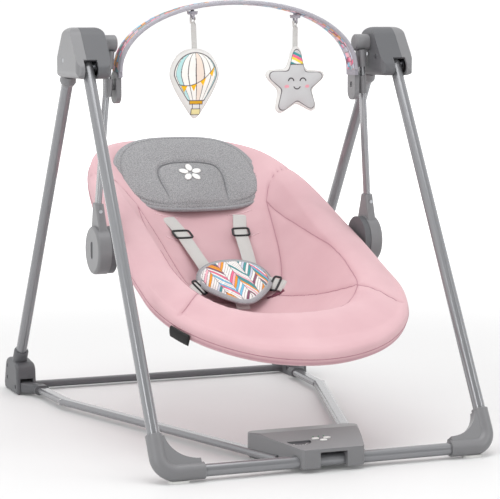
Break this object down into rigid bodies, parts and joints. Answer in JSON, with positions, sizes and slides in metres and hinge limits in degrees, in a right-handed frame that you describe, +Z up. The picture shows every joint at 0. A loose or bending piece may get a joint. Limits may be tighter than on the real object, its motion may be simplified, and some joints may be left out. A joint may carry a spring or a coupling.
{
  "type": "baby swing",
  "caption": "Folding electric baby swing: tubular A-frame stand, swinging reclining sling seat with harness and head pillow, toy bar with hanging toys and a base control unit.",
  "frame": {"origin": "on the floor, in the middle of the swing's outline", "axes": "+X towards the swing's own left-hand side seen from behind, which is the right of a person who stands in front of it and looks at it; +Y towards the back; +Z up"},
  "size_m": [0.61, 0.894, 0.732],
  "materials": {
    "painted_steel_satin_grey": "satin",
    "zinc_plated_steel": "satin",
    "moulded_plastic_mid_grey": "matte",
    "moulded_plastic_dark_grey": "matte",
    "black_plastic": "satin",
    "white_plastic": "satin",
    "red_plastic": "satin",
    "white_rubber": "matte",
    "copper_winding": "enamelled",
    "green_circuit_board": "gloss",
    "pink_seat_fabric": "woven",
    "grey_melange_fabric": "knitted",
    "printed_fabric": "woven",
    "white_webbing": "woven",
    "toy_fabric": "plush"
  },
  "bodies": {
    "stand": {"head_outer_shell_left": "moulded_plastic_mid_grey", "head_outer_shell_right": "moulded_plastic_mid_grey", "head_inner_shell_left": "moulded_plastic_dark_grey", "head_inner_shell_right": "moulded_plastic_dark_grey", "head_brackets": "zinc_plated_steel", "rear_leg_left": "painted_steel_satin_grey", "rear_leg_right": "painted_steel_satin_grey", "rear_foot_left": "moulded_plastic_dark_grey", "rear_foot_right": "moulded_plastic_dark_grey", "rear_crossbar": "moulded_plastic_dark_grey", "hinge_pins": "zinc_plated_steel", "swing_bearings": "white_plastic", "drive_coil": "copper_winding", "frame_screws": "zinc_plated_steel"},
    "front_frame": {"front_leg_left": "painted_steel_satin_grey", "front_leg_right": "painted_steel_satin_grey", "front_crossbar": "painted_steel_satin_grey", "corner_sleeve_left": "moulded_plastic_mid_grey", "corner_sleeve_right": "moulded_plastic_mid_grey", "front_foot_pads": "white_rubber"},
    "base_loop": {"base_tube_left": "painted_steel_satin_grey", "base_tube_right": "painted_steel_satin_grey", "base_necks": "moulded_plastic_dark_grey", "control_upper_shell": "moulded_plastic_mid_grey", "control_lower_shell": "moulded_plastic_dark_grey", "battery_cover": "moulded_plastic_dark_grey", "circuit_board": "green_circuit_board", "dc_socket": "black_plastic", "control_screws": "zinc_plated_steel"},
    "dial": {"speed_dial": "moulded_plastic_dark_grey"},
    "timer": {"timer_button": "white_plastic"},
    "melody": {"melody_button": "white_plastic"},
    "power": {"power_button": "white_plastic"},
    "volume": {"volume_wheel": "moulded_plastic_dark_grey"},
    "arms": {"swing_arm_left": "painted_steel_satin_grey", "swing_arm_right": "painted_steel_satin_grey", "arm_hub_left": "moulded_plastic_mid_grey", "arm_hub_right": "moulded_plastic_mid_grey", "swing_shafts": "zinc_plated_steel", "drive_magnet": "zinc_plated_steel", "recline_socket_left": "moulded_plastic_mid_grey", "recline_socket_right": "moulded_plastic_mid_grey", "toy_bar_clips": "moulded_plastic_mid_grey"},
    "recline_release_left": {"recline_button_left": "moulded_plastic_dark_grey"},
    "recline_release_right": {"recline_button_right": "moulded_plastic_dark_grey"},
    "snap_left": {"snap_button_left": "zinc_plated_steel"},
    "snap_right": {"snap_button_right": "zinc_plated_steel"},
    "seat": {"seat_ring": "zinc_plated_steel", "seat_hubs": "moulded_plastic_dark_grey", "seat_sling": "pink_seat_fabric", "head_pillow": "grey_melange_fabric", "harness_webbing": "white_webbing", "strap_sliders": "black_plastic", "harness_buckle": "black_plastic", "crotch_pad": "printed_fabric"},
    "buckle_latch": {"buckle_release": "red_plastic"},
    "toy_bar_body": {"toy_bar": "printed_fabric", "toy_bar_ends": "moulded_plastic_mid_grey"},
    "balloon": {"balloon_toy": "toy_fabric"},
    "star": {"star_toy": "toy_fabric"}
  },
  "joints": [
    {"name": "front_frame_fold", "type": "hinge", "parent": "stand", "child": "front_frame", "pos_m": [0, -0.067, 0.624], "axis": [1, 0, 0], "range_deg": [0, 48]},
    {"name": "base_loop_fold", "type": "hinge", "parent": "stand", "child": "base_loop", "pos_m": [0, 0.366, 0.014], "axis": [-1, 0, 0], "range_deg": [0, 3.4]},
    {"name": "swing", "type": "hinge", "parent": "stand", "child": "arms", "pos_m": [0, -0.029, 0.66], "axis": [1, 0, 0], "range_deg": [-10, 10]},
    {"name": "seat_recline", "type": "hinge", "parent": "arms", "child": "seat", "pos_m": [0, -0.024, 0.313], "axis": [1, 0, 0], "range_deg": [-14, 0]},
    {"name": "recline_press_left", "type": "slide", "parent": "arms", "child": "recline_release_left", "axis": [1, 0, 0], "range_m": [0, 0.003], "stiffness_N_per_m": 900, "springref_m": -0.001},
    {"name": "recline_press_right", "type": "slide", "parent": "arms", "child": "recline_release_right", "axis": [-1, 0, 0], "range_m": [0, 0.003], "stiffness_N_per_m": 900, "springref_m": -0.001},
    {"name": "snap_press_left", "type": "slide", "parent": "arms", "child": "snap_left", "axis": [0, 0.9993, 0.0379], "range_m": [0, 0.003], "stiffness_N_per_m": 900, "springref_m": -0.001},
    {"name": "snap_press_right", "type": "slide", "parent": "arms", "child": "snap_right", "axis": [0, 0.9993, 0.0379], "range_m": [0, 0.003], "stiffness_N_per_m": 900, "springref_m": -0.001},
    {"name": "toy_bar_tilt", "type": "hinge", "parent": "arms", "child": "toy_bar_body", "pos_m": [0, -0.02914, 0.587], "axis": [1, 0, 0], "range_deg": [-45, 45]},
    {"name": "balloon_swing", "type": "hinge", "parent": "toy_bar_body", "child": "balloon", "pos_m": [-0.082, -0.02914, 0.7079], "axis": [1, 0, 0], "range_deg": [-30, 30]},
    {"name": "star_swing", "type": "hinge", "parent": "toy_bar_body", "child": "star", "pos_m": [0.107, -0.02914, 0.7018], "axis": [1, 0, 0], "range_deg": [-30, 30]},
    {"name": "buckle_press", "type": "slide", "parent": "seat", "child": "buckle_latch", "axis": [0, 0.3567, -0.9342], "range_m": [0, 0.002], "stiffness_N_per_m": 700, "springref_m": -0.001},
    {"name": "speed_dial_turn", "type": "hinge", "parent": "base_loop", "child": "dial", "pos_m": [-0.04, -0.398, 0.04186], "axis": [0, -0.0914, 0.9958], "range_deg": [-135, 135]},
    {"name": "timer_press", "type": "slide", "parent": "base_loop", "child": "timer", "axis": [0, 0.0914, -0.9958], "range_m": [0, 0.001], "stiffness_N_per_m": 500, "springref_m": -0.001},
    {"name": "melody_press", "type": "slide", "parent": "base_loop", "child": "melody", "axis": [0, 0.0914, -0.9958], "range_m": [0, 0.001], "stiffness_N_per_m": 500, "springref_m": -0.001},
    {"name": "power_press", "type": "slide", "parent": "base_loop", "child": "power", "axis": [0, 0.0914, -0.9958], "range_m": [0, 0.001], "stiffness_N_per_m": 500, "springref_m": -0.001},
    {"name": "volume_turn", "type": "hinge", "parent": "base_loop", "child": "volume", "pos_m": [0.0535, -0.405, 0.033], "axis": [0, 0, 1], "range_deg": [-140, 140]}
  ],
  "couplings": [
    {"joint": "base_loop_fold", "follows": "front_frame_fold", "ratio": 0.07}
  ]
}
